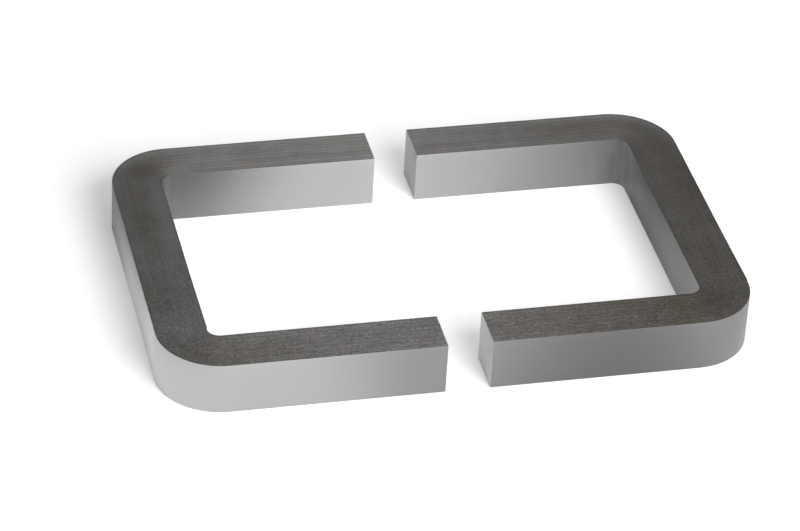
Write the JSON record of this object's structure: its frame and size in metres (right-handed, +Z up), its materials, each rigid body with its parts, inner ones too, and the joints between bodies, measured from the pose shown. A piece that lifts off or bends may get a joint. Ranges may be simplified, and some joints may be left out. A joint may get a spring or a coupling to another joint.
{
  "type": "cut transformer core",
  "caption": "Cut core of wound steel strip in two C-shaped halves with rounded corners, drawn apart, lying on their wound edge; closes on flat cut faces round a coil.",
  "frame": {"origin": "on the surface the halves lie on, under the middle of the gap between their cut faces", "axes": "+X along the legs from the left half to the right half, +Y across the window to the rear leg, +Z up along the strip's width"},
  "size_m": [0.2721, 0.1764, 0.0251],
  "materials": {
    "core_strip": "bonded steel strip: satin grey outer and inner turns, dark resin-filled wound edges, lapped cut faces"
  },
  "bodies": {
    "left_half": {"left_half_core": "core_strip"},
    "right_half": {"right_half_core": "core_strip"}
  },
  "joints": [
    {"name": "core_close", "type": "slide", "parent": "left_half", "child": "right_half", "axis": [1, 0, 0], "range_m": [-0.02048, 0.082]}
  ]
}
